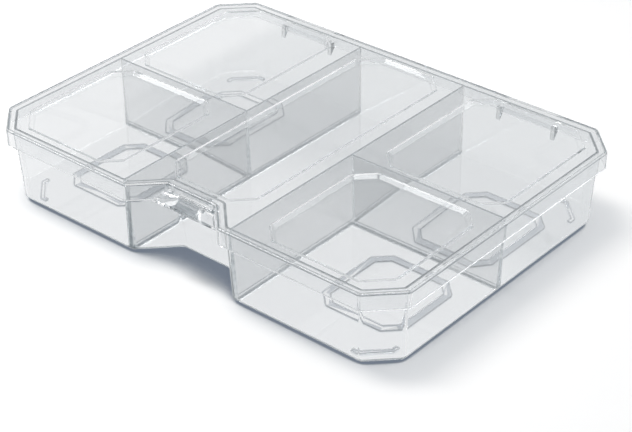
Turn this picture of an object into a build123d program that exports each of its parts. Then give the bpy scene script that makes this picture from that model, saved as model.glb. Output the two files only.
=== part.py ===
"""Clear compartment storage box: a moulded tray, a lid hinged at the back and a latch at the front.

Millimetres. The origin is on the ground under the middle of the box, +Z is up, the latch faces -Y
and the hinges are at +Y.
"""

import os
from math import asin, atan2, cos, hypot, radians, sin, sqrt, tan

from build123d import *

os.makedirs("parts", exist_ok=True)

# Two heights closer than this are the same
level_tolerance = 1e-4

# Outside of the closed box
box_length = 290.0
box_width = 210.0
box_height = 48.6
corner_cut = 18.0
outline_radius = 4.0

# Finger notch in the middle of the front
notch_mouth = 67.0
notch_depth = 16.0

# Lid shell
lid_plate = 1.8
skirt_wall = 1.8
skirt_height = 10.6
lid_edge_radius = 1.2
lid_inside_radius = 0.6
skirt_edge_radius = 0.4
lip_height = 4.0

# Sunk windows in the lid
window_depth = 2.3
window_slope = 45.0
window_side_margin = 12.5
window_front_margin = 9.5
window_back_margin = 7.5
window_outer_cut = 14.5
window_inner_cut = 10.5
centre_window_cut = 12.0
window_radius = 3.0
centre_window_front = 8.5
centre_window_back = 8.5

# Windows beside the partitions
corner_window_to_long_wall = 14.0
centre_window_to_long_wall = 8.5
window_before_cross_wall = 7.0
window_behind_cross_wall = 3.0

# Tray shell
tray_wall = 1.6
tray_floor = 1.8
foot_height = 1.5
lid_gap = 0.3
skirt_to_tray = 2.4
side_draft = 1.8
cut_draft = 2.8
notch_wall_set_back = 5.0
notch_wall_draft = 5.4
bottom_radius = 3.2
pocket_radius = 1.2
rim_radius = 0.4

# Partitions, moulded with the tray
long_wall_from_middle = 38.5
cross_wall_from_front = 102.5
partition_top = 1.4
partition_foot = 4.2

# Feet under the tray
ring_width = 54.0
ring_from_middle = 68.0
front_ring_start = 34.5
front_ring_length = 57.5
back_ring_start = 111.0
back_ring_length = 66.7
ring_cut = 9.0
ring_bead = 4.5
ring_radius = 2.0
bracket_width = 2.4
bracket_leg = 4.3
stack_gap = 0.4
foot_chamfer = 0.4
foot_root = 0.5

# Hinges at the back
hinge_from_side = 63.0
hinge_length = 40.0
hinge_pin_radius = 1.0
hinge_pin_chamfer = 0.2
hinge_sleeve_wall = 0.85
hinge_running_gap = 0.05
hinge_ear = 2.6
hinge_ear_radius = 2.0
hinge_ear_gap = 0.3
hinge_above_skirt_edge = 1.0
hinge_inside_back = 0.1
gusset_height = 6.2
skirt_slot_gap = 0.5

# Latch flap in the notch
latch_reach = 6.6
latch_plate = 1.6
latch_side_gap = 0.4
latch_swing_gap = 1.2
latch_barrel_radius = 1.2
latch_barrel_length = 26.0
latch_pivot_set_back = 0.4
latch_top_gap = 0.35
trunnion_radius = 0.8
trunnion_gap = 0.05
latch_lug = 2.2
latch_lug_wall = 0.95
latch_lug_gap = 0.3
scoop_half_width = 7.6
scoop_slope_width = 9.0
cheek_rise = 2.0

# Hook on the latch and catch on the tray
hook_width = 18.0
hook_thickness = 1.5
hook_toe = 1.6
hook_lead = 1.0
hook_gap = 0.3
catch_width = 20.0
catch_to_hook = 1.3
catch_below_rim = 5.6
catch_lip = 0.6
catch_height = 1.6

# Heights and places that follow from the sizes above
front = -box_width / 2
back = box_width / 2
skirt_edge = box_height - skirt_height
plate_underside = box_height - lid_plate
rim_top = plate_underside - lid_gap
floor_top = foot_height + tray_floor
window_floor = box_height - window_depth
window_run = window_depth / tan(radians(window_slope))
window_growth = lid_plate * tan(radians(window_slope / 2))
tray_inset = skirt_wall + skirt_to_tray
cross_wall_y = front + cross_wall_from_front
hinge_from_middle = box_length / 2 - hinge_from_side
hinge_sleeve_radius = hinge_pin_radius + hinge_running_gap + hinge_sleeve_wall
hinge_y = back - max(hinge_ear_radius, hinge_sleeve_radius) - hinge_inside_back
hinge_z = skirt_edge + hinge_above_skirt_edge
latch_y = front + notch_depth + latch_pivot_set_back
latch_z = box_height - lip_height - latch_top_gap - latch_barrel_radius
latch_tip_y = front + notch_depth - latch_reach
latch_lug_radius = trunnion_radius + trunnion_gap + latch_lug_wall
catch_front = latch_y + latch_barrel_radius + catch_to_hook
catch_underside = rim_top - catch_below_rim


def outline_points(side, cut, notch_side, notch_back):
    """Corners of the box's outline, with its walls, corner cuts and notch walls moved inwards."""
    half_x = box_length / 2 - side
    half_y = box_width / 2 - side
    cut_leg = corner_cut + cut * sqrt(2) - side
    cut_x = box_length / 2 - cut_leg
    cut_y = box_width / 2 - cut_leg
    mouth_x = notch_mouth / 2 + notch_side * sqrt(2) - side
    notch_y = notch_depth + notch_back
    notch_x = notch_mouth / 2 + notch_side * sqrt(2) - notch_y
    right_half = [
        (notch_x, front + notch_y),
        (mouth_x, -half_y),
        (cut_x, -half_y),
        (half_x, -cut_y),
        (half_x, cut_y),
        (cut_x, half_y),
    ]
    left_half = [(-x, y) for x, y in reversed(right_half)]
    return right_half + left_half


def outline(height, insets=(0, 0, 0, 0), wall=0):
    """The box's outline as a face at a height, or with a wall given the room behind that even wall."""
    with BuildSketch(Plane.XY.offset(height)) as face:
        Polygon(*outline_points(*insets), align=None)
        fillet(face.vertices(), outline_radius)
        if wall:
            offset(amount=-wall, mode=Mode.REPLACE)
    return face.sketch


def cut_rectangle(height, x_range, y_range, cuts, inset, radius):
    """A rectangle with its four corners cut at 45 degrees, moved inwards by inset.

    cuts are the lengths cut from the front left, front right, back right and back left corners.
    """
    x0, x1 = x_range[0] + inset, x_range[1] - inset
    y0, y1 = y_range[0] + inset, y_range[1] - inset
    legs = [cut + inset * (sqrt(2) - 2) for cut in cuts]
    points = [
        (x0, y0 + legs[0]),
        (x0 + legs[0], y0),
        (x1 - legs[1], y0),
        (x1, y0 + legs[1]),
        (x1, y1 - legs[2]),
        (x1 - legs[2], y1),
        (x0 + legs[3], y1),
        (x0, y1 - legs[3]),
    ]
    with BuildSketch(Plane.XY.offset(height)) as face:
        Polygon(*points, align=None)
        fillet(face.vertices(), radius)
    return face.sketch


def profile(x, points):
    """A closed outline of (y, z) points as a face square to X."""
    with BuildSketch(Plane.YZ.offset(x)) as face:
        Polygon(*points, align=None)
    return face.sketch


def circle_profile(x, y, z, radius):
    """A circle square to X."""
    with BuildSketch(Plane.YZ.offset(x)) as face:
        with Locations((y, z)):
            Circle(radius)
    return face.sketch


def bracket_points(x_side, y_side):
    """Outline of the bracket foot in one corner, set inside the window floor of the box below."""
    corner_x = box_length / 2 - window_side_margin
    corner_y = back - (window_front_margin if y_side < 0 else window_back_margin)
    outer = window_run + stack_gap
    inner = outer + bracket_width
    outer_leg = window_outer_cut + outer * (sqrt(2) - 1)
    inner_leg = window_outer_cut + inner * (sqrt(2) - 1)
    end = outer_leg + bracket_leg
    corner_line = [
        (end, outer),
        (outer_leg, outer),
        (outer, outer_leg),
        (outer, end),
        (inner, end),
        (inner, inner_leg),
        (inner_leg, inner),
        (end, inner),
    ]
    return [(x_side * (corner_x - x), y_side * (corner_y - y)) for x, y in corner_line]


def back_wall_middle(z):
    """The middle of the tray's back wall at a height."""
    draft = side_draft * (rim_top - z) / (rim_top - foot_height)
    return back - tray_inset - draft - tray_wall / 2


def ear_profile(x):
    """A hinge ear: a round eye on a triangular gusset that runs down the tray's back wall."""
    ear_top = hinge_z + hinge_ear_radius
    gusset_foot = hinge_z - gusset_height
    with BuildSketch(Plane.YZ.offset(x)) as face:
        Polygon(
            (back_wall_middle(ear_top), ear_top),
            (hinge_y, ear_top),
            (hinge_y + hinge_ear_radius, hinge_z),
            (back_wall_middle(gusset_foot) + tray_wall / 2, gusset_foot),
            (back_wall_middle(gusset_foot), gusset_foot),
            align=None,
        )
        with Locations((hinge_y, hinge_z)):
            Circle(hinge_ear_radius)
    return face.sketch


def flap_opening_points():
    """The gap in the lid's skirt between the walls of the notch."""
    half = notch_mouth / 2 - notch_depth
    reach = skirt_wall + latch_pivot_set_back
    return [
        (-half, front + notch_depth - skirt_wall / 2),
        (half, front + notch_depth - skirt_wall / 2),
        (half, front + notch_depth + reach),
        (-half, front + notch_depth + reach),
    ]


def flap_outline_points():
    """Outline seen from above that keeps the flap clear of the notch walls while it swings."""
    tip_half = notch_mouth / 2 - (latch_tip_y - front) - latch_side_gap * sqrt(2)
    top_half = notch_mouth / 2 - notch_depth - latch_side_gap * sqrt(2) - latch_swing_gap
    right_half = [
        (tip_half, front),
        (tip_half, latch_tip_y),
        (top_half, front + notch_depth),
        (top_half, latch_y + 2 * latch_barrel_radius),
    ]
    left_half = [(-x, y) for x, y in reversed(right_half)]
    return right_half + left_half


def flap_points(rise):
    """Section of the latch flap: from its barrel down to the tip, with its face brought forward by rise."""
    run = latch_y - latch_tip_y
    fall = latch_z - skirt_edge
    slope = atan2(fall, run) + asin(latch_barrel_radius / hypot(run, fall))
    top_y = latch_y - latch_barrel_radius * sin(slope)
    top_z = latch_z + latch_barrel_radius * cos(slope)
    return [
        (latch_tip_y, skirt_edge),
        (latch_tip_y + latch_plate / sin(slope), skirt_edge),
        (top_y + latch_plate * sin(slope), top_z - latch_plate * cos(slope)),
        (top_y - rise, top_z),
    ]


def hook_points():
    """Section of the hook that hangs from the latch's barrel and points back under the catch."""
    leg_back = latch_y + latch_barrel_radius
    leg_front = leg_back - hook_thickness
    toe_end = catch_front - hook_gap
    toe_top = catch_underside - hook_gap
    return [
        (leg_front, latch_z),
        (leg_back, latch_z),
        (leg_back, toe_top),
        (toe_end, toe_top),
        (toe_end, toe_top - hook_toe + hook_lead),
        (toe_end - hook_lead, toe_top - hook_toe),
        (leg_front, toe_top - hook_toe),
    ]


def at_height(shape_list, height):
    """The edges that lie level at a height."""

    def is_level(edge):
        return all(abs((edge @ place).Z - height) < level_tolerance for place in (0, 0.5, 1))

    return shape_list.filter_by(is_level)


# Windows, as x range, y range and corner cuts
corner_inside = long_wall_from_middle + corner_window_to_long_wall
corner_outside = box_length / 2 - window_side_margin
front_window = (front + window_front_margin, cross_wall_y - window_before_cross_wall)
back_window = (cross_wall_y + window_behind_cross_wall, back - window_back_margin)
windows = []
for side in (-1, 1):
    x_range = sorted((side * corner_inside, side * corner_outside))
    outer = (window_outer_cut, window_inner_cut) if side < 0 else (window_inner_cut, window_outer_cut)
    windows.append((x_range, front_window, (*outer, window_inner_cut, window_inner_cut)))
    windows.append((x_range, back_window, (window_inner_cut, window_inner_cut, *reversed(outer))))
centre_half = long_wall_from_middle - centre_window_to_long_wall
centre_window_y = (front + notch_depth + centre_window_front, back - centre_window_back)
windows.append(((-centre_half, centre_half), centre_window_y, (centre_window_cut,) * 4))

# Where the hinge ears start and the sleeves between them run, along X
ear_starts = []
sleeve_ranges = []
for middle in (-hinge_from_middle, hinge_from_middle):
    ear_starts += [middle - hinge_length / 2, middle + hinge_length / 2 - hinge_ear]
    sleeve_half = hinge_length / 2 - hinge_ear - hinge_ear_gap
    sleeve_ranges.append((middle - sleeve_half, middle + sleeve_half))

# Across the latch flap
scoop_edge = scoop_half_width + scoop_slope_width
flap_half = notch_mouth / 2


# Tray
top_insets = (tray_inset, tray_inset, tray_inset, notch_wall_set_back)
foot_insets = (
    tray_inset + side_draft,
    tray_inset + cut_draft,
    tray_inset + cut_draft,
    notch_wall_set_back + notch_wall_draft,
)
floor_share = tray_floor / (rim_top - foot_height)
floor_insets = tuple(low + (high - low) * floor_share for low, high in zip(foot_insets, top_insets))

with BuildPart() as pockets:
    loft(
        [
            outline(floor_top, floor_insets, tray_wall),
            outline(rim_top, top_insets, tray_wall),
        ],
        ruled=True,
    )
    half_foot = partition_foot / 2
    half_top = partition_top / 2
    wall_section = [
        (-half_foot, floor_top),
        (half_foot, floor_top),
        (half_top, rim_top),
        (-half_top, rim_top),
    ]
    for side in (-1, 1):
        with BuildSketch(Plane.XZ.offset(-back)):
            with Locations((side * long_wall_from_middle, 0)):
                Polygon(*wall_section, align=None)
        extrude(amount=box_width, mode=Mode.SUBTRACT)
        cross_section = profile(
            side * long_wall_from_middle, [(cross_wall_y + y, z) for y, z in wall_section]
        )
        extrude(cross_section, amount=side * box_length / 2, mode=Mode.SUBTRACT)
    fillet(at_height(pockets.edges(), floor_top), pocket_radius)

with BuildPart() as tray:
    loft([outline(foot_height, foot_insets), outline(rim_top, top_insets)], ruled=True)
    fillet(at_height(tray.edges(), foot_height), bottom_radius)
    fillet(at_height(tray.edges(), rim_top), rim_radius)
    add(pockets.part, mode=Mode.SUBTRACT)

    # Raised rings that the box stands on
    for side in (-1, 1):
        x_range = sorted((side * ring_from_middle, side * (ring_from_middle + ring_width)))
        for start, length in ((front_ring_start, front_ring_length), (back_ring_start, back_ring_length)):
            y_range = (front + start, front + start + length)
            ring = cut_rectangle(0, x_range, y_range, (ring_cut,) * 4, 0, ring_radius)
            hole = cut_rectangle(0, x_range, y_range, (ring_cut,) * 4, ring_bead, ring_radius / 2)
            extrude(ring - hole, amount=foot_height + foot_root)

    # Brackets that drop into the corners of the windows of a box underneath
    for x_side, y_side in ((-1, -1), (1, -1), (1, 1), (-1, 1)):
        with BuildSketch():
            Polygon(*bracket_points(x_side, y_side), align=None)
        extrude(amount=foot_height + foot_root)
    chamfer(at_height(tray.edges(), 0), foot_chamfer)

    # Catch on the notch wall, sloped on top so that the hook slides over it
    catch_root = front + notch_depth + notch_wall_set_back + tray_wall / 2
    catch_points = [
        (catch_root, catch_underside),
        (catch_front, catch_underside),
        (catch_front, catch_underside + catch_lip),
        (catch_root - tray_wall / 2, catch_underside + catch_height),
        (catch_root, catch_underside + catch_height),
    ]
    extrude(profile(-catch_width / 2, catch_points), amount=catch_width)

    # Hinge ears with their gussets on the back wall
    for x_start in ear_starts:
        extrude(ear_profile(x_start), amount=hinge_ear)
        hole = circle_profile(x_start, hinge_y, hinge_z, hinge_pin_radius)
        extrude(hole, amount=hinge_ear, mode=Mode.SUBTRACT)

# Hinge pins, pressed into the ears
with BuildPart() as hinge_pin_left:
    pin_start = -hinge_from_middle - hinge_length / 2
    extrude(circle_profile(pin_start, hinge_y, hinge_z, hinge_pin_radius), amount=hinge_length)
    chamfer(hinge_pin_left.edges().filter_by(GeomType.CIRCLE), hinge_pin_chamfer)

with BuildPart() as hinge_pin_right:
    mirror(hinge_pin_left.part, about=Plane.YZ)

# Room inside the lid's skirt
with BuildPart() as skirt_room:
    extrude(outline(skirt_edge, wall=skirt_wall), amount=skirt_height - lid_plate)
    fillet(at_height(skirt_room.edges(), plate_underside), lid_inside_radius)

# Lid
with BuildPart() as lid:
    extrude(outline(skirt_edge), amount=skirt_height)
    fillet(at_height(lid.edges(), box_height), lid_edge_radius)
    add(skirt_room.part, mode=Mode.SUBTRACT)
    fillet(at_height(lid.edges(), skirt_edge), skirt_edge_radius)

    # Opening under the lip for the latch flap
    with BuildSketch(Plane.XY.offset(skirt_edge)):
        Polygon(*flap_opening_points(), align=None)
    extrude(amount=skirt_height - lip_height, mode=Mode.SUBTRACT)

    # Windows, sunk from above with a wall of the same thickness below
    for x_range, y_range, cuts in windows:
        below_top = cut_rectangle(plate_underside, x_range, y_range, cuts, -window_growth, window_radius)
        below_floor = cut_rectangle(
            window_floor - lid_plate, x_range, y_range, cuts, window_run - window_growth, window_radius
        )
        loft([below_floor, below_top], ruled=True)
    for x_range, y_range, cuts in windows:
        above_top = cut_rectangle(box_height, x_range, y_range, cuts, 0, window_radius)
        above_floor = cut_rectangle(window_floor, x_range, y_range, cuts, window_run, window_radius)
        loft([above_floor, above_top], ruled=True, mode=Mode.SUBTRACT)

    # Hinge sleeves under the back skirt, with slots for the tray's ears
    for x_start, x_end in sleeve_ranges:
        with BuildSketch(Plane.XY.offset(skirt_edge)):
            with Locations(((x_start + x_end) / 2, back)):
                Rectangle(x_end - x_start, 2 * skirt_wall)
        extrude(amount=hinge_above_skirt_edge, mode=Mode.SUBTRACT)
        extrude(circle_profile(x_start, hinge_y, hinge_z, hinge_sleeve_radius), amount=x_end - x_start)
        bore = circle_profile(x_start, hinge_y, hinge_z, hinge_pin_radius + hinge_running_gap)
        extrude(bore, amount=x_end - x_start, mode=Mode.SUBTRACT)
    slot_height = hinge_above_skirt_edge + hinge_ear_radius + skirt_slot_gap
    for x_start in ear_starts:
        with BuildSketch(Plane.XY.offset(skirt_edge)):
            with Locations((x_start + hinge_ear / 2, back)):
                Rectangle(hinge_ear + 2 * hinge_ear_gap, 2 * tray_inset)
        extrude(amount=slot_height, mode=Mode.SUBTRACT)

    # Lugs that carry the latch's trunnions
    for side in (-1, 1):
        x_start = side * (latch_barrel_length / 2 + latch_lug_gap)
        lug = circle_profile(x_start, latch_y, latch_z, latch_lug_radius)
        extrude(lug, amount=side * latch_lug)
        lip_face = front + notch_depth
        hanger = profile(
            x_start,
            [
                (lip_face, latch_z),
                (latch_y + latch_lug_radius, latch_z),
                (latch_y + latch_lug_radius, plate_underside + lid_plate / 2),
                (lip_face + skirt_wall / 2, plate_underside + lid_plate / 2),
                (lip_face + skirt_wall / 2, box_height - lip_height),
                (lip_face, box_height - lip_height),
            ],
        )
        extrude(hanger, amount=side * latch_lug)
        hole = circle_profile(x_start, latch_y, latch_z, trunnion_radius + trunnion_gap)
        extrude(hole, amount=side * latch_lug, mode=Mode.SUBTRACT)

# Latch: a sloping flap on a barrel, with a hook behind it
with BuildPart() as latch:
    sections = []
    for x in (-flap_half, -scoop_edge, -scoop_half_width, scoop_half_width, scoop_edge, flap_half):
        rise = cheek_rise if abs(x) > scoop_half_width else 0
        sections.append(profile(x, flap_points(rise)))
    loft(sections, ruled=True)
    with BuildSketch(Plane.XY):
        Polygon(*flap_outline_points(), align=None)
    extrude(amount=box_height, mode=Mode.INTERSECT)
    for side in (-1, 1):
        clear = circle_profile(
            side * latch_barrel_length / 2, latch_y, latch_z, latch_lug_radius + latch_lug_gap
        )
        extrude(clear, amount=side * box_length, mode=Mode.SUBTRACT)
    barrel = circle_profile(-latch_barrel_length / 2, latch_y, latch_z, latch_barrel_radius)
    extrude(barrel, amount=latch_barrel_length)
    trunnion_length = latch_barrel_length + 2 * (latch_lug_gap + latch_lug)
    trunnion = circle_profile(-trunnion_length / 2, latch_y, latch_z, trunnion_radius)
    extrude(trunnion, amount=trunnion_length)
    extrude(profile(-hook_width / 2, hook_points()), amount=hook_width)

for name, part in (
    ("tray", tray),
    ("lid", lid),
    ("latch", latch),
    ("hinge_pin_left", hinge_pin_left),
    ("hinge_pin_right", hinge_pin_right),
):
    part.part.label = name
    export_step(part.part, f"parts/{name}.step")
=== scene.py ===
# %% [markdown]
# # A clear compartment storage box
#
# The real object is two large injection mouldings, a tray and a lid, with a small
# latch flap between them and two hinge pins at the back. All of it is clear, polished
# plastic, and clear plastic has hardly a colour of its own. What the eye sees is the
# grey of its thickness, thin bright lines where rounded edges bend the room's light, and
# the white table behind everything. This lesson makes those three by the right means:
# thickness is measured and turned into a tint, edges are really rounded, and the white
# comes from the studio.

# %% The frame
import math

import bmesh
import bpy
from mathutils import Matrix, Vector


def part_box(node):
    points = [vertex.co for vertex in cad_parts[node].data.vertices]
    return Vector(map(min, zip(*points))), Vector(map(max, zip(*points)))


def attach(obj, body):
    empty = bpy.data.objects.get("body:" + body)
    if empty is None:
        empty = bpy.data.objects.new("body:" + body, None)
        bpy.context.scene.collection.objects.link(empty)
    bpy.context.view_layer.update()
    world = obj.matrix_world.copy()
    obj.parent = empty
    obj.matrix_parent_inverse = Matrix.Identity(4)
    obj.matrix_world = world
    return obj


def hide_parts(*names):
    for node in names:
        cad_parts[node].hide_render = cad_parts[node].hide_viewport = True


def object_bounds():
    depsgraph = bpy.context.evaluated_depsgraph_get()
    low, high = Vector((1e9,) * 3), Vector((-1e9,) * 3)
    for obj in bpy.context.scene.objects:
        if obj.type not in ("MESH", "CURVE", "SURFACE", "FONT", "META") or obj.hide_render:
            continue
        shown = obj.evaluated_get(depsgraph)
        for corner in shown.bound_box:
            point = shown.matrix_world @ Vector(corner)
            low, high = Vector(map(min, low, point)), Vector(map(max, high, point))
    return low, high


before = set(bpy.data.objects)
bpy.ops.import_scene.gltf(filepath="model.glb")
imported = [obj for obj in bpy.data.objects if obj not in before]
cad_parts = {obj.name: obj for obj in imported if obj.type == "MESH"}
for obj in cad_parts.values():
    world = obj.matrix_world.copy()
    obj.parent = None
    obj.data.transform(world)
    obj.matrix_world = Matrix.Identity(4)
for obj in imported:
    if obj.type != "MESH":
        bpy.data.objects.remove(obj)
scene = bpy.context.scene
cad_low, cad_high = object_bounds()
box_length, box_width, box_height = cad_high - cad_low
millimetre = 0.001
print("box, mm:", [round(v / millimetre, 1) for v in (box_length, box_width, box_height)])

# %% [markdown]
# ## The camera
#
# The view was worked out from the straight edges of the box: a camera to the front
# right, about 32 degrees above the table, a little over three and a half box lengths
# away with a long lens. A camera object looks along its own -Z, so its rotation is a
# matrix of three columns: its right, its up, and the direction back towards the eye.

# %% Camera
view_azimuth = math.radians(40.645)
view_elevation = math.radians(32.215)
view_roll = math.radians(-0.5645)
view_distance = 3.6514 * box_length
view_shift_right = 0.0270 * box_length
view_shift_up = -0.0253 * box_length
sensor_width = 36.0
lens_length = 105.8

to_eye = Vector(
    (
        math.sin(view_azimuth) * math.cos(view_elevation),
        -math.cos(view_azimuth) * math.cos(view_elevation),
        math.sin(view_elevation),
    )
)
level_right = Vector((0, 0, 1)).cross(to_eye).normalized()
level_up = to_eye.cross(level_right)
view_right = level_right * math.cos(view_roll) + level_up * math.sin(view_roll)
view_up = level_up * math.cos(view_roll) - level_right * math.sin(view_roll)
view_place = view_right * view_shift_right + view_up * view_shift_up + to_eye * view_distance
view_axes = Matrix((view_right, view_up, to_eye)).transposed().to_4x4()

camera = bpy.data.objects.new("camera", bpy.data.cameras.new("camera"))
camera.data.sensor_width = sensor_width
camera.data.lens = lens_length
camera.matrix_world = Matrix.Translation(view_place) @ view_axes
scene.collection.objects.link(camera)
scene.camera = camera
scene.view_settings.view_transform = "Standard"
print(f"camera: {lens_length} mm lens, {view_distance:.2f} m from the box")

# %% [markdown]
# ## Helpers for trees of nodes
#
# A material is a tree of nodes, and so is a geometry modifier. `node` adds one node and
# sets its plain inputs by name. `wire` joins an output to an input, and `feed` gives an
# input either a number or an output. `reckon` puts a sum between two values, `map_range`
# stretches one range of values onto another, and `mix_shaders` fades between two
# surfaces. The trees could be drawn by hand in the editor, but as text each one reads
# like a recipe and comes out the same every time.


# %% Tree helpers
def node(tree, kind, **settings):
    made = tree.nodes.new(kind)
    for name, value in settings.items():
        label = name.replace("_", " ")
        if label in made.inputs:
            made.inputs[label].default_value = value
        else:
            setattr(made, name, value)
    return made


def wire(tree, source, target):
    tree.links.new(source, target)


def feed(tree, value, socket):
    if isinstance(value, (int, float)):
        socket.default_value = value
    else:
        wire(tree, value, socket)


def reckon(tree, operation, first, second):
    sum_node = node(tree, "ShaderNodeMath", operation=operation)
    feed(tree, first, sum_node.inputs[0])
    feed(tree, second, sum_node.inputs[1])
    return sum_node.outputs[0]


def map_range(tree, value, interpolation, **ends):
    mapped = node(tree, "ShaderNodeMapRange", interpolation_type=interpolation)
    wire(tree, value, mapped.inputs["Value"])
    for name, end in ends.items():
        feed(tree, end, mapped.inputs[name.replace("_", " ")])
    return mapped.outputs["Result"]


def mix_shaders(tree, factor, low, high):
    mix = node(tree, "ShaderNodeMixShader")
    for source, socket in zip((factor, low, high), mix.inputs):
        wire(tree, source, socket)
    return mix.outputs[0]


def new_material(name):
    material = bpy.data.materials.new(name)
    material.use_nodes = True
    material.node_tree.nodes.clear()
    return material, material.node_tree


print("helpers: node, wire, feed, reckon, map_range, mix_shaders, new_material")

# %% [markdown]
# ## Which rays belong to the eye
#
# The box stands on a white table under white light. If the table were lit until it went
# white, the box would be lit too hard as well. So the lamps stay at a plain level, and
# the table and the room add a little light of their own for rays that come from the
# eye, straight or through the plastic. Light Path tells those rays apart. Diffuse Depth
# is 0 as long as a ray hasn't bounced off a matt surface, so this light never reaches
# the box by way of the table. Depths are whole numbers, so half a count lies safely
# between none and one.

# %% Eye rays
half_count = 0.5


def eye_rays(tree):
    path = node(tree, "ShaderNodeLightPath")
    bent, mirrored = path.outputs["Is Transmission Ray"], path.outputs["Is Glossy Ray"]
    through = reckon(tree, "MAXIMUM", bent, mirrored)
    seen = reckon(tree, "MAXIMUM", path.outputs["Is Camera Ray"], through)
    unbounced = reckon(tree, "LESS_THAN", path.outputs["Diffuse Depth"], half_count)
    seen_first = reckon(tree, "MULTIPLY", seen, unbounced)
    through_first = reckon(tree, "MULTIPLY", through, unbounced)
    return seen_first, through_first


print("eye rays: straight, bent or mirrored, before any matt bounce")

# %% [markdown]
# ## The white table
#
# Catalogue pictures stand their goods on a sweep of white paper. It could be modelled as
# a curved sheet, but a flat table that turns white by itself looks right from every
# side. It is matt and pale, with a little light of its own. That light grows with the
# distance from the box, because the lamps reach less far, and so the table runs out into
# plain white.

# %% Table surface
table_colour = (0.80, 0.80, 0.80, 1)
table_own_light = 0.16
far_own_light = 0.85
near_reach = 0.35
far_reach = 1.60

white_table, tree = new_material("white_table")
seen, through = eye_rays(tree)
table_place = node(tree, "ShaderNodeTexCoord").outputs["Object"]
from_box = node(tree, "ShaderNodeVectorMath", operation="LENGTH")
wire(tree, table_place, from_box.inputs[0])
glow = map_range(
    tree,
    from_box.outputs["Value"],
    "LINEAR",
    From_Min=near_reach,
    From_Max=far_reach,
    To_Min=table_own_light,
    To_Max=far_own_light,
)
matt = node(tree, "ShaderNodeBsdfDiffuse", Color=table_colour)
own = node(tree, "ShaderNodeEmission")
wire(tree, reckon(tree, "MULTIPLY", seen, glow), own.inputs["Strength"])
lit = node(tree, "ShaderNodeAddShader")
wire(tree, matt.outputs[0], lit.inputs[0])
wire(tree, own.outputs[0], lit.inputs[1])
print(f"table's own light: {table_own_light} near the box, {far_own_light} far from it")

# %% [markdown]
# ## The shadow
#
# Light that passes a clear box spreads out in ways that need a great many samples. The
# soft grey beside the box is therefore partly drawn. Ambient occlusion measures how much
# of the sky a point of the table misses. Where that is most of it, in the finger notch
# and close to the walls, the table turns dark.

# %% Shadow
shelter_samples = 24
shadow_reach = 80 * millimetre
shadow_full = 0.31
shadow_gone = 0.47
shadow_colour = (0.17, 0.20, 0.25, 1)


def openness(tree, reach, full, gone):
    shelter = node(tree, "ShaderNodeAmbientOcclusion", samples=shelter_samples, Distance=reach)
    return map_range(tree, shelter.outputs["AO"], "SMOOTHSTEP", From_Min=full, From_Max=gone)


dark = node(tree, "ShaderNodeEmission", Color=shadow_colour)
sky = openness(tree, shadow_reach, shadow_full, shadow_gone)
shaded = mix_shaders(tree, sky, dark.outputs[0], lit.outputs[0])
print(f"shadow: full where {shadow_full} of the sky is open, gone at {shadow_gone}")

# %% [markdown]
# ## The table through the plastic
#
# A ray that comes to the table through the box finds it white, with two painted shades.
# A ring hardly more than a millimetre wide is painted darker where the tray's feet touch
# it, a painted contact shadow that shows through the floor as the grey rings. And the
# table is painted greyer towards the back, a painted shade for the light that has the
# whole box to pass. To the left of the box, where the rim is seen against the open
# table, it stays white.

# %% Table through the plastic
contact_reach = 1.3 * millimetre
contact_full = 0.0
contact_gone = 0.9
# painted contact shadow: the table under the feet is darker in a thin ring
contact_shadow_colour = (0.55, 0.58, 0.62, 1)
# painted shade: the table seen through the box turns greyer towards the back
under_front = (0.98, 0.985, 0.99, 1)
under_back = (0.83, 0.845, 0.855, 1)
fade_from = -0.01
fade_to = 0.06
left_of_box = -0.17
under_box = -0.15
share_through_plastic = 0.90

spot = node(tree, "ShaderNodeSeparateXYZ")
wire(tree, table_place, spot.inputs[0])
backwards = map_range(
    tree, spot.outputs["Y"], "SMOOTHSTEP", From_Min=fade_from, From_Max=fade_to
)
rightwards = map_range(
    tree, spot.outputs["X"], "SMOOTHSTEP", From_Min=left_of_box, From_Max=under_box
)
under = node(tree, "ShaderNodeMix", data_type="RGBA", A=under_front, B=under_back)
wire(tree, reckon(tree, "MULTIPLY", backwards, rightwards), under.inputs["Factor"])
# the painted contact shadow is mixed into the table seen through the plastic
contact_shadowed = node(tree, "ShaderNodeMix", data_type="RGBA", A=contact_shadow_colour)
wire(tree, under.outputs["Result"], contact_shadowed.inputs["B"])
untouched = openness(tree, contact_reach, contact_full, contact_gone)
wire(tree, untouched, contact_shadowed.inputs["Factor"])
clean = node(tree, "ShaderNodeEmission")
wire(tree, contact_shadowed.outputs["Result"], clean.inputs["Color"])
share = reckon(tree, "MULTIPLY", through, share_through_plastic)
surface = mix_shaders(tree, share, shaded, clean.outputs[0])
wire(tree, surface, node(tree, "ShaderNodeOutputMaterial").inputs["Surface"])
print("white_table:", len(tree.nodes), "nodes")

# %% [markdown]
# ## The table top
#
# One square, larger than any view needs. The Add menu's plane would do too, but a mesh
# made from four corners doesn't depend on what is selected.

# %% Table top
table_half_size = 3.0
table_mesh = bpy.data.meshes.new("table_top")
quarters = ((-1, -1), (1, -1), (1, 1), (-1, 1))
corners = [(x * table_half_size, y * table_half_size, 0) for x, y in quarters]
table_mesh.from_pydata(corners, [], [(0, 1, 2, 3)])
table_mesh.materials.append(white_table)
table_top = bpy.data.objects.new("table_top", table_mesh)
scene.collection.objects.link(table_top)
print(f"table: {2 * table_half_size:.0f} m square")

# %% [markdown]
# ## The room
#
# The room is a faint, even fill for matt surfaces and pure white for the eye. Clear
# plastic shows whatever stands behind it. In a room that is white all round, its edges
# would vanish, so the walls of the room are dimmer low down, and most of all on the
# right. Only light that was bent or mirrored by the plastic gets there, and it draws the
# thin grey outlines that tell one edge from the next. A picture of a studio could be
# wrapped round the scene instead, but two smooth ramps are enough and easy to tune.

# %% Room walls
dim_left = 0.95
dim_right = 0.45
dimming_from = -0.4
dimming_to = 0.6
dim_below = 0.10
white_above = 0.50

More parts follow.
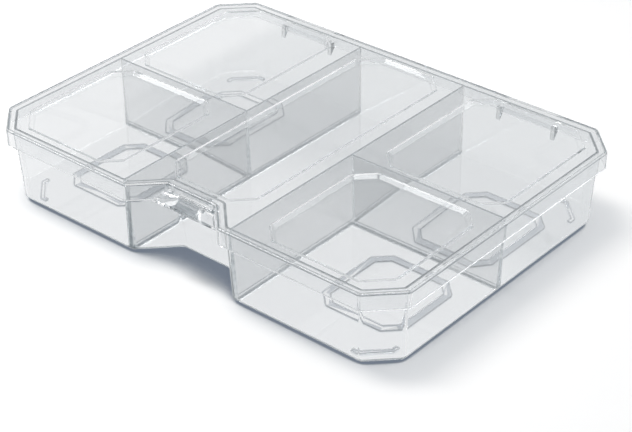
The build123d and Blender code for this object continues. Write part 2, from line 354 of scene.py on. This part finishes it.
room = bpy.data.worlds.new("white_room")
scene.world = room
room.use_nodes = True
tree = room.node_tree
tree.nodes.clear()
direction = node(tree, "ShaderNodeSeparateXYZ")
wire(tree, node(tree, "ShaderNodeTexCoord").outputs["Generated"], direction.inputs[0])
low_wall = map_range(
    tree,
    direction.outputs["X"],
    "SMOOTHSTEP",
    From_Min=dimming_from,
    From_Max=dimming_to,
    To_Min=dim_left,
    To_Max=dim_right,
)
wall = map_range(
    tree,
    direction.outputs["Z"],
    "SMOOTHSTEP",
    From_Min=dim_below,
    From_Max=white_above,
    To_Min=low_wall,
)
print("room: low walls", dim_left, "on the left and", dim_right, "on the right")

# %% [markdown]
# ## What each ray finds in the room
#
# A ray straight from the eye finds pure white, and one that comes through the plastic
# finds the walls. All others, which light the matt table, find the faint, even fill.

# %% Room light
room_fill = 0.20
room_colour = (0.97, 0.98, 1.0, 1)
plain_white = (1, 1, 1, 1)

seen, through = eye_rays(tree)
faint = node(tree, "ShaderNodeBackground", Color=room_colour, Strength=room_fill)
walls = node(tree, "ShaderNodeBackground", Color=plain_white)
wire(tree, wall, walls.inputs["Strength"])
white = node(tree, "ShaderNodeBackground", Color=plain_white, Strength=1.0)
pick = mix_shaders(tree, seen, faint.outputs[0], white.outputs[0])
pick = mix_shaders(tree, through, pick, walls.outputs[0])
wire(tree, pick, node(tree, "ShaderNodeOutputWorld").inputs["Surface"])
print(f"room: fill {room_fill}, white for the eye")

# %% [markdown]
# ## Lamps
#
# Two large soft boxes light the table, one overhead and one from the left, so the shadow
# falls to the right. Neither shows in reflections, or one of them would blot out half
# the lid in a view from above. The other five are cards for reflections only. Each
# stands where a sloping wall of the windows, a rounded rim or the latch mirrors it to
# the camera, and makes that wall a bright line. The direction of such a card is the view
# mirrored in the wall. Only three of them show through the plastic, whose small rounds
# would focus the others to sparks.

# %% Soft boxes and cards
lamp_distance = 1.30


def soft_box(name, direction, size, radiance, lights_table, shows_through):
    width, height = size
    lamp = bpy.data.lights.new(name, "AREA")
    lamp.shape = "RECTANGLE"
    lamp.size = width
    lamp.size_y = height
    lamp.energy = radiance * math.pi * width * height
    stand = bpy.data.objects.new(name, lamp)
    towards = Vector(direction).normalized()
    turned = towards.to_track_quat("Z", "Y").to_matrix().to_4x4()
    stand.matrix_world = Matrix.Translation(towards * lamp_distance) @ turned
    stand.visible_diffuse = lights_table
    stand.visible_glossy = not lights_table
    stand.visible_transmission = shows_through
    stand.visible_camera = False
    scene.collection.objects.link(stand)


def mirrored_view(normal):
    facing = Vector(normal).normalized()
    return 2 * facing.dot(to_eye) * facing - to_eye


left_facet = (0.165, -0.743, 0.649)
far_bevel = (0, -1, 1)
left_bevel = (1, 0, 1)
lamps = (
    # name, direction, size in metres, radiance, lights the table, shows through the plastic
    ("overhead_soft_box", (-0.05, 0.05, 1.0), (1.10, 1.10), 1.3, True, False),
    ("left_soft_box", (-0.27, -0.10, 1.0), (0.30, 0.60), 24.0, True, False),
    ("right_bevel_card", (0.42, -0.33, 0.84), (0.40, 0.40), 5.0, False, True),
    ("far_bevel_card", mirrored_view(far_bevel), (0.45, 0.45), 7.0, False, False),
    ("left_bevel_card", mirrored_view(left_bevel), (0.45, 0.40), 2.0, False, False),
    ("latch_facet_card", mirrored_view(left_facet), (0.30, 0.30), 20.0, False, True),
    ("back_card", (0.02, 0.64, 0.77), (0.40, 0.40), 5.0, False, True),
)
for lamp_settings in lamps:
    soft_box(*lamp_settings)
print(len(lamps), "lamps, each", lamp_distance, "m from the box")

# %% [markdown]
# ## The moulded surface
#
# A polished steel mould still leaves faint waves in the plastic, and handling leaves fine
# scuffs. A picture of scratches could show them, but it would need every wall unwrapped.
# Noise on Object coordinates doesn't, and it stays put on each piece. The clear pieces
# share it, so it lives in one node group that puts out a roughness and a height, and
# each material places the group with its own values.

# %% Moulded surface group
moulded_surface = bpy.data.node_groups.new("moulded_surface", "ShaderNodeTree")
polished = 0.02
handled = 0.06
finish_inputs = (
    ("Wave Scale", 45.0),
    ("Scuff Scale", 900.0),
    ("Polish", polished),
    ("Scuffed", handled),
)
sockets = moulded_surface.interface
for label, value in finish_inputs:
    made = sockets.new_socket(label, in_out="INPUT", socket_type="NodeSocketFloat")
    made.default_value = value
for label in ("Roughness", "Height"):
    sockets.new_socket(label, in_out="OUTPUT", socket_type="NodeSocketFloat")
print("moulded_surface:", len(finish_inputs), "inputs")

# %% [markdown]
# ## Waves and scuffs
#
# The waves are wide and soft, so their noise has little detail. The scuffs are fine and
# broken. Only the upper part of their noise counts, or the whole piece would look worn.

# %% Waves and scuffs
wave_detail, wave_breakup = 1.0, 0.4
scuff_detail, scuff_breakup = 3.0, 0.6
scuff_from = 0.45
scuff_to = 0.75

tree = moulded_surface
given = node(tree, "NodeGroupInput")
place = node(tree, "ShaderNodeTexCoord")
waves = node(tree, "ShaderNodeTexNoise", Detail=wave_detail, Roughness=wave_breakup)
wire(tree, place.outputs["Object"], waves.inputs["Vector"])
wire(tree, given.outputs["Wave Scale"], waves.inputs["Scale"])
scuffs = node(tree, "ShaderNodeTexNoise", Detail=scuff_detail, Roughness=scuff_breakup)
wire(tree, place.outputs["Object"], scuffs.inputs["Vector"])
wire(tree, given.outputs["Scuff Scale"], scuffs.inputs["Scale"])
rough = map_range(
    tree,
    scuffs.outputs[0],
    "LINEAR",
    From_Min=scuff_from,
    From_Max=scuff_to,
    To_Min=given.outputs["Polish"],
    To_Max=given.outputs["Scuffed"],
)
result = node(tree, "NodeGroupOutput")
wire(tree, rough, result.inputs["Roughness"])
wire(tree, waves.outputs[0], result.inputs["Height"])
print("moulded_surface:", len(tree.nodes), "nodes")

# %% [markdown]
# ## A tint for thickness
#
# Clear plastic gets greyer the thicker it is: the partitions, more than twice as thick
# at the foot as a wall, are the darkest parts of the box. Volume absorption alone would
# do this, but it turns every edge dark too, because light runs a long way inside a thin
# wall before it comes out there. So most of the grey is a surface tint that reads how
# thick the wall is under each face. That number is measured further down and stored on
# the mesh as `wall_depth`. This group turns it into a colour. The curve between the two
# is smooth, so thin walls stay clear and only the deepest places turn dark.

# %% Tint by depth group
tint_by_depth = bpy.data.node_groups.new("tint_by_depth", "ShaderNodeTree")
sockets = tint_by_depth.interface
for label, kind, value in (
    ("Wall Depth", "NodeSocketFloat", 1.6 * millimetre),
    ("Full Depth", "NodeSocketFloat", 4.9 * millimetre),
    ("Thin Colour", "NodeSocketColor", plain_white),
    ("Deep Colour", "NodeSocketColor", (0.5, 0.5, 0.5, 1)),
):
    made = sockets.new_socket(label, in_out="INPUT", socket_type=kind)
    made.default_value = value
sockets.new_socket("Colour", in_out="OUTPUT", socket_type="NodeSocketColor")

tree = tint_by_depth
given = node(tree, "NodeGroupInput")
stored = node(tree, "ShaderNodeAttribute", attribute_name="wall_depth")
depth = map_range(
    tree,
    stored.outputs["Fac"],
    "SMOOTHSTEP",
    From_Min=given.outputs["Wall Depth"],
    From_Max=given.outputs["Full Depth"],
)
tint = node(tree, "ShaderNodeMix", data_type="RGBA")
wire(tree, depth, tint.inputs["Factor"])
wire(tree, given.outputs["Thin Colour"], tint.inputs["A"])
wire(tree, given.outputs["Deep Colour"], tint.inputs["B"])
wire(tree, tint.outputs["Result"], node(tree, "NodeGroupOutput").inputs["Colour"])
print("tint_by_depth:", len(tree.nodes), "nodes")

# %% [markdown]
# ## Clear plastic
#
# The shader is a Principled one with full Transmission and the index of refraction of
# styrene, about 1.5, and it has three helpers. Rays to the lamps and matt bounces meet a
# lightly tinted Transparent pane instead, because light bent by the box would be noise.
# A little volume absorption gives the long ways along the edges a grey-green touch. And
# a ray that has run out of bounces inside a wall would end in black, which real plastic
# never shows: at that last bounce the surface gives out the pale grey of the room.

# %% Clear plastic
bounce_limit = 20
last_light = 0.85
refraction = 1.50
wave_strength = 0.02
wave_depth = 0.5 * millimetre
absorbed_colour = (0.10, 0.22, 0.28, 1)
absorbed_density = 4.0
pane_colour = (0.84, 0.85, 0.86, 1)
thin_grey = (0.937, 0.943, 0.948, 1)
deep_grey = (0.12, 0.15, 0.17, 1)


def clear_plastic(name, polish=polished, scuffed=handled, bending=refraction):
    material, tree = new_material(name)
    finish = node(tree, "ShaderNodeGroup")
    finish.node_tree = moulded_surface
    finish.inputs["Polish"].default_value = polish
    finish.inputs["Scuffed"].default_value = scuffed
    bump = node(tree, "ShaderNodeBump", Strength=wave_strength, Distance=wave_depth)
    wire(tree, finish.outputs["Height"], bump.inputs["Height"])
    grey = node(tree, "ShaderNodeGroup")
    grey.node_tree = tint_by_depth
    grey.inputs["Thin Colour"].default_value = thin_grey
    grey.inputs["Deep Colour"].default_value = deep_grey
    plastic = node(tree, "ShaderNodeBsdfPrincipled", IOR=bending, Transmission_Weight=1.0)
    plastic.inputs["Emission Strength"].default_value = last_light
    wire(tree, grey.outputs["Colour"], plastic.inputs["Base Color"])
    wire(tree, finish.outputs["Roughness"], plastic.inputs["Roughness"])
    wire(tree, bump.outputs[0], plastic.inputs["Normal"])
    path = node(tree, "ShaderNodeLightPath")
    last_bounce = reckon(
        tree, "GREATER_THAN", path.outputs["Ray Depth"], bounce_limit + half_count
    )
    wire(tree, last_bounce, plastic.inputs["Emission Color"])
    pane = node(tree, "ShaderNodeBsdfTransparent", Color=pane_colour).outputs[0]
    for_lamps = mix_shaders(tree, path.outputs["Is Shadow Ray"], plastic.outputs[0], pane)
    for_room = mix_shaders(tree, path.outputs["Is Diffuse Ray"], for_lamps, pane)
    inside = node(tree, "ShaderNodeVolumeAbsorption", Color=absorbed_colour)
    inside.inputs["Density"].default_value = absorbed_density
    ends = node(tree, "ShaderNodeOutputMaterial")
    wire(tree, for_room, ends.inputs["Surface"])
    wire(tree, inside.outputs[0], ends.inputs["Volume"])
    return material


print(f"clear plastic: index {refraction}, absorption {absorbed_density} per metre")

# %% [markdown]
# ## One plastic, four finishes
#
# The tray and the lid are moulded from the same resin and polished alike, but they are
# two materials, so that one can be changed without the other. The pins rub in their
# sleeves and are scuffed. The flat of the latch, where the finger pushes, is rubbed dull.
# A dull surface at the resin's full index would look dark from the front, so its index
# is lower and the white notch behind it shows.

# %% Plastics
pin_scuffed = 0.12
flat_polish = 0.22
flat_scuffed = 0.30
flat_bending = 1.15

tray_plastic = clear_plastic("tray_plastic")
lid_plastic = clear_plastic("lid_plastic")
pin_plastic = clear_plastic("pin_plastic", scuffed=pin_scuffed)
finger_flat = clear_plastic("finger_flat", flat_polish, flat_scuffed, flat_bending)
plastics = (tray_plastic, lid_plastic, pin_plastic, finger_flat)
print("plastics:", *(plastic.name for plastic in plastics))

# %% [markdown]
# ## How often light may bend
#
# A look through the closed box crosses the lid, the partitions and the floor, and every
# wall has two sides. Blender's usual limit of twelve bounces would cut many of those
# ways short. The light of the last bounce, above, counts on the same number.

# %% Bounces
scene.cycles.max_bounces = bounce_limit
scene.cycles.transmission_bounces = bounce_limit
scene.cycles.glossy_bounces = bounce_limit
scene.cycles.transparent_max_bounces = bounce_limit
print("bounces:", bounce_limit)

# %% [markdown]
# ## Helpers for Geometry Nodes
#
# A Geometry Nodes tree is a machine with named inputs. `set_input` gives a modifier one
# of them by the socket's identifier, which is how Blender files it. `settle` then turns
# the modifier's result into a plain mesh and takes the modifier away, because other
# programs know meshes and not trees.


# %% Geometry helpers
def geometry_tree(name, takes_mesh, numbers):
    tree = bpy.data.node_groups.new(name, "GeometryNodeTree")
    tree.is_modifier = True
    if takes_mesh:
        tree.interface.new_socket("Mesh", in_out="INPUT", socket_type="NodeSocketGeometry")
    for label, value in numbers:
        made = tree.interface.new_socket(label, in_out="INPUT", socket_type="NodeSocketFloat")
        made.default_value = value
    tree.interface.new_socket("Material", in_out="INPUT", socket_type="NodeSocketMaterial")
    tree.interface.new_socket("Mesh", in_out="OUTPUT", socket_type="NodeSocketGeometry")
    return tree, node(tree, "NodeGroupInput")


def finish_tree(tree, given, made):
    real = node(tree, "GeometryNodeRealizeInstances")
    wire(tree, made, real.inputs["Geometry"])
    painted = node(tree, "GeometryNodeSetMaterial")
    wire(tree, real.outputs["Geometry"], painted.inputs["Geometry"])
    wire(tree, given.outputs["Material"], painted.inputs["Material"])
    wire(tree, painted.outputs["Geometry"], node(tree, "NodeGroupOutput").inputs["Mesh"])


def set_input(modifier, label, value):
    for socket in modifier.node_group.interface.items_tree:
        if socket.item_type == "SOCKET" and socket.in_out == "INPUT" and socket.name == label:
            modifier[socket.identifier] = value


def settle(piece):
    graph = bpy.context.evaluated_depsgraph_get()
    made = piece.evaluated_get(graph)
    mesh = bpy.data.meshes.new_from_object(made, preserve_all_data_layers=True, depsgraph=graph)
    piece.modifiers.clear()
    piece.data = mesh


print("helpers: geometry_tree, finish_tree, set_input, settle")

# %% [markdown]
# ## Measuring the walls
#
# How thick is the plastic under a face? A tree can ask the mesh itself: from just under
# each corner of the face, a ray goes straight in and stops at the far side of the wall.
# Some rays meet a partition end on and run its whole length, so every corner casts two,
# near the corner and near the middle, and keeps the shorter. The median of the corners
# is the face's wall depth. It is stored as an attribute, so it follows the surface.
# Painting the thick places by hand would do as well, but not for a changed part.

# %% Directions into the wall
skin = 0.02 * millimetre
deepest = 4.5 * millimetre

measure_walls, given = geometry_tree(
    "measure_walls", True, (("Skin", skin), ("Deepest", deepest))
)
tree = measure_walls
place = node(tree, "GeometryNodeInputPosition")
facing = node(tree, "GeometryNodeInputNormal")
middle = node(tree, "GeometryNodeFieldOnDomain", data_type="FLOAT_VECTOR", domain="FACE")
wire(tree, place.outputs[0], middle.inputs[0])
outwards = node(tree, "GeometryNodeFieldOnDomain", data_type="FLOAT_VECTOR", domain="FACE")
wire(tree, facing.outputs[0], outwards.inputs[0])
inwards = node(tree, "ShaderNodeVectorMath", operation="SCALE", Scale=-1.0)
wire(tree, outwards.outputs[0], inwards.inputs[0])
under_skin = node(tree, "ShaderNodeVectorMath", operation="SCALE")
wire(tree, inwards.outputs[0], under_skin.inputs[0])
wire(tree, given.outputs["Skin"], under_skin.inputs["Scale"])
print(f"rays start {skin / millimetre} mm deep and end at {deepest / millimetre} mm")

# %% [markdown]
# ## One measuring ray
#
# A ray starts on the line from the corner to the middle of the face, at a given step of
# the way. Where it meets no far side, the wall counts as deepest.


# %% Measuring ray
def depth_at(step):
    start = node(tree, "ShaderNodeMix", data_type="VECTOR", Factor=step)
    wire(tree, place.outputs[0], start.inputs["A"])
    wire(tree, middle.outputs[0], start.inputs["B"])
    below = node(tree, "ShaderNodeVectorMath", operation="ADD")
    wire(tree, start.outputs["Result"], below.inputs[0])
    wire(tree, under_skin.outputs[0], below.inputs[1])
    ray = node(tree, "GeometryNodeRaycast")
    wire(tree, given.outputs["Mesh"], ray.inputs["Target Geometry"])
    wire(tree, below.outputs[0], ray.inputs["Source Position"])
    wire(tree, inwards.outputs[0], ray.inputs["Ray Direction"])
    wire(tree, given.outputs["Deepest"], ray.inputs["Ray Length"])
    found = node(tree, "GeometryNodeSwitch", input_type="FLOAT")
    wire(tree, ray.outputs["Is Hit"], found.inputs["Switch"])
    wire(tree, given.outputs["Deepest"], found.inputs["False"])
    wire(tree, ray.outputs["Hit Distance"], found.inputs["True"])
    return found.outputs[0]


corner_step = 0.10
middle_step = 0.50
shorter = reckon(tree, "MINIMUM", depth_at(corner_step), depth_at(middle_step))
print(f"two rays for each corner, at {corner_step} and {middle_step} of the way")

# %% [markdown]
# ## The wall depth of a face
#
# Face of Corner says which face a corner belongs to, and Field Average takes the median
# over all corners with the same answer.

# %% Wall depth
which_face = node(tree, "GeometryNodeFaceOfCorner")
typical = node(tree, "GeometryNodeFieldAverage", data_type="FLOAT", domain="CORNER")
wire(tree, shorter, typical.inputs["Value"])
wire(tree, which_face.outputs["Face Index"], typical.inputs["Group ID"])
kept = node(tree, "GeometryNodeStoreNamedAttribute", data_type="FLOAT", domain="FACE")
kept.inputs["Name"].default_value = "wall_depth"
wire(tree, given.outputs["Mesh"], kept.inputs["Geometry"])
wire(tree, typical.outputs["Median"], kept.inputs["Value"])
finish_tree(tree, given, kept.outputs["Geometry"])
print("measure_walls:", len(tree.nodes), "nodes")

# %% [markdown]
# ## From a solid to a moulding
#
# The tray, the lid and the latch keep the exact shape of their solids, whose meshes
# arrive as loose triangles. A copy is merged, flat neighbours are joined to one face
# again, and the sharp edges that lie level, which a mould rounds and a lamp picks out,
# get a small real bevel. Upright edges stay sharp, because a bevel there would draw
# lines that the real box doesn't show. A Bevel modifier could round the others, but it
# can't choose edges by their direction, so bmesh does it.

# %% Moulded copies
merge_distance = 0.001 * millimetre
flat_angle = math.radians(0.5)
rounded_from = math.radians(34)
crease_from = math.radians(40)
level_within = 0.02 * millimetre
bevel_steps = 2
round_profile = 0.5


def is_level_edge(edge):
    drop = edge.verts[0].co.z - edge.verts[1].co.z
    return abs(drop) < level_within and edge.calc_face_angle(0) > rounded_from


def moulded_copy(node_name, edge_radius, cut_height=None):
    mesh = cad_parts[node_name].data.copy()
    mesh.materials.clear()
    shape = bmesh.new()
    shape.from_mesh(mesh)
    bmesh.ops.remove_doubles(shape, verts=shape.verts, dist=merge_distance)
    bmesh.ops.dissolve_limit(
        shape, angle_limit=flat_angle, verts=shape.verts, edges=shape.edges, delimit=set()
    )
    if cut_height is not None:
        everything = [*shape.verts, *shape.edges, *shape.faces]
        level_plane = {"plane_co": (0, 0, cut_height), "plane_no": (0, 0, 1)}
        bmesh.ops.bisect_plane(shape, geom=everything, dist=merge_distance, **level_plane)
    level = [edge for edge in shape.edges if is_level_edge(edge)]
    bmesh.ops.bevel(
        shape,
        geom=level,
        offset=edge_radius,
        offset_type="OFFSET",
        segments=bevel_steps,
        profile=round_profile,
        affect="EDGES",
    )
    for polygon in shape.faces:
        polygon.smooth = True
    for edge in shape.edges:
        edge.smooth = edge.calc_face_angle(0) < crease_from
    shape.to_mesh(mesh)
    shape.free()
    piece = bpy.data.objects.new(node_name + "_moulding", mesh)
    scene.collection.objects.link(piece)
    print(f"{piece.name}: {len(level)} level edges rounded, {len(mesh.polygons)} faces")
    return piece


print(f"level edges that turn more than {math.degrees(rounded_from):.0f} degrees get a bevel")

# %% [markdown]
# ## Finishing a moulding
#
# Each moulding is measured, and its wall depths are kept with the mesh. Weighted normals
# let the small bevels bend the shading and leave the large faces flat. The measuring tree
# gives the piece its material, the solid it replaces is hidden, and the piece is hung on
# the empty of the body it moves with.


# %% Finishing
def finish_moulding(piece, material, node_name, body):
    measure = piece.modifiers.new("measure", "NODES")
    measure.node_group = measure_walls
    set_input(measure, "Material", material)
    settle(piece)
    depths = sorted(value.value for value in piece.data.attributes["wall_depth"].data)
    even = piece.modifiers.new("even_shading", "WEIGHTED_NORMAL")
    even.keep_sharp = True
    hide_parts(node_name)
    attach(piece, body)
    print(f"{piece.name}: median wall {depths[len(depths) // 2] / millimetre:.1f} mm")


print("helper: finish_moulding")

# %% [markdown]
# ## The tray
#
# One deep moulding: floor, drafted walls, two long and two cross partitions, four ring
# feet and four corner brackets below, and the hinge ears with their gussets behind. It
# could be drawn again with modifiers, but its solid already has every wall and draft.
#
# A partition tapers from its foot to its top, but each side of it is one face and gets
# one depth. The tray is therefore cut level, a little above its floor. The shape stays
# as it is, but the feet of the partitions are faces of their own now, which measure
# deeper and show as the dark bands that run around the real compartments.

# %% Tray
tray_edge_radius = 0.25 * millimetre
floor_top = 3.3 * millimetre
foot_band = 1.9 * millimetre
tray_moulding = moulded_copy("tray", tray_edge_radius, cut_height=floor_top + foot_band)
finish_moulding(tray_moulding, tray_plastic, "tray", "tray")

# %% [markdown]
# ## The lid
#
# A thin plate with a skirt, and five windows sunk into it. Their sloping walls are what
# shows most: they mirror the cards as white bands. Lines painted on the plate would look
# alike from one side only, so the walls keep their true slope and the cards do the rest.

# %% Lid
lid_edge_radius = 0.20 * millimetre
lid_moulding = moulded_copy("lid", lid_edge_radius)
finish_moulding(lid_moulding, lid_plastic, "lid", "lid")

# %% [markdown]
# ## The latch
#
# A flap almost as wide as the notch, with a flat for the finger between two slanted
# facets. The facets catch the light at just the slope that the flap really has, so its
# solid's mesh is kept and dressed like the lid.

# %% Latch
latch_edge_radius = 0.15 * millimetre
latch_moulding = moulded_copy("latch", latch_edge_radius)
finish_moulding(latch_moulding, lid_plastic, "latch", "latch")

# %% [markdown]
# ## The finger flat
#
# The flat that the finger pushes is rubbed dull. A mask in the plastic's material could
# show that, but the flat is a set of whole faces, so a second material on those faces is
# simpler. They are found by the direction they face.

# %% Finger flat
latch_slope = math.radians(43.8)
flat_facing = Vector((0, -math.sin(latch_slope), math.cos(latch_slope)))
flat_within = math.cos(math.radians(3.0))

flap = latch_moulding.data
flat_index = len(flap.materials)
flap.materials.append(finger_flat)
flat_faces = [face for face in flap.polygons if face.normal.dot(flat_facing) > flat_within]
for face in flat_faces:
    face.material_index = flat_index
flat_area = sum(face.area for face in flat_faces) / millimetre**2
print(f"finger flat: {len(flat_faces)} faces, {flat_area:.0f} mm2")

# %% [markdown]
# ## The hinge pins
#
# Two rods with chamfered ends. Their shape follows a rule, so a tree draws it: four
# points in line, a radius for each, and a circle carried along them. The same tree makes
# both pins, because each one only needs its own middle, length and radius, which are
# read from its solid.

# %% Hinge pin tree
pin_points = 4
pin_chamfer = 0.2 * millimetre
pin_inputs = (
    ("Middle X", 0.0),
    ("Middle Y", 0.0),
    ("Middle Z", 0.0),
    ("Length", 40 * millimetre),
    ("Radius", 1.0 * millimetre),
    ("Chamfer", pin_chamfer),
)
pin_tree, given = geometry_tree("hinge_pin", False, pin_inputs)
tree = pin_tree
length, chamfer = given.outputs["Length"], given.outputs["Chamfer"]
print("hinge_pin:", len(pin_inputs), "sizes for", pin_points, "points in line")

# %% [markdown]
# ## The points of a pin
#
# The points are numbered 0 to 3, so 1.5 is the middle of the line. The outer two lie
# more than one number from it. They are the ends, which sit at the full length and are
# thinner by the chamfer. The inner two are set back by the chamfer and keep the radius.

# %% Points of a pin
middle_number = (pin_points - 1) / 2
inner_reach = 1.0

point = node(tree, "GeometryNodeInputIndex").outputs[0]
from_middle = reckon(tree, "SUBTRACT", point, middle_number)
apart = reckon(tree, "ABSOLUTE", from_middle, 0.0)
is_end = reckon(tree, "GREATER_THAN", apart, inner_reach)
half_length = reckon(tree, "MULTIPLY", length, 0.5)
set_back = reckon(tree, "MULTIPLY", chamfer, reckon(tree, "SUBTRACT", 1.0, is_end))
which_half = reckon(tree, "SIGN", from_middle, 0.0)
along = reckon(tree, "MULTIPLY", which_half, reckon(tree, "SUBTRACT", half_length, set_back))
thinner = reckon(tree, "MULTIPLY", is_end, chamfer)
radius = reckon(tree, "SUBTRACT", given.outputs["Radius"], thinner)
print("points of a pin:", len(tree.nodes), "nodes so far")

# %% [markdown]
# ## The rod
#
# The line of points becomes a curve, and Curve to Mesh carries a circle along it, scaled
# by the radius of each point.

# %% Rod
pin_sides = 32

spot = node(tree, "ShaderNodeCombineXYZ")
wire(tree, reckon(tree, "ADD", along, given.outputs["Middle X"]), spot.inputs["X"])
wire(tree, given.outputs["Middle Y"], spot.inputs["Y"])
wire(tree, given.outputs["Middle Z"], spot.inputs["Z"])
points = node(tree, "GeometryNodeMeshLine", Count=pin_points)
placed = node(tree, "GeometryNodeSetPosition")
wire(tree, points.outputs["Mesh"], placed.inputs["Geometry"])
wire(tree, spot.outputs[0], placed.inputs["Position"])
axis = node(tree, "GeometryNodeMeshToCurve")
wire(tree, placed.outputs["Geometry"], axis.inputs["Mesh"])
ring = node(tree, "GeometryNodeCurvePrimitiveCircle", Resolution=pin_sides, Radius=1.0)
rod = node(tree, "GeometryNodeCurveToMesh", Fill_Caps=True)
wire(tree, axis.outputs["Curve"], rod.inputs["Curve"])
wire(tree, radius, rod.inputs["Scale"])
wire(tree, ring.outputs["Curve"], rod.inputs["Profile Curve"])
finish_tree(tree, given, rod.outputs["Mesh"])
print("hinge_pin:", len(tree.nodes), "nodes")

# %% [markdown]
# ## Left and right
#
# Each pin takes its place, its length and its radius from the box around its solid.

# %% Hinge pins
for side in ("left", "right"):
    pin_low, pin_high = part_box("hinge_pin_" + side)
    pin_middle = (pin_low + pin_high) / 2
    pin = bpy.data.objects.new("hinge_rod_" + side, bpy.data.meshes.new("hinge_rod_" + side))
    scene.collection.objects.link(pin)
    drawn = pin.modifiers.new("drawn", "NODES")
    drawn.node_group = pin_tree
    for label, value in (
        ("Middle X", pin_middle.x),
        ("Middle Y", pin_middle.y),
        ("Middle Z", pin_middle.z),
        ("Length", pin_high.x - pin_low.x),
        ("Radius", (pin_high.z - pin_low.z) / 2),
        ("Chamfer", pin_chamfer),
        ("Material", pin_plastic),
    ):
        set_input(drawn, label, value)
    settle(pin)
    finish_moulding(pin, pin_plastic, "hinge_pin_" + side, "tray")
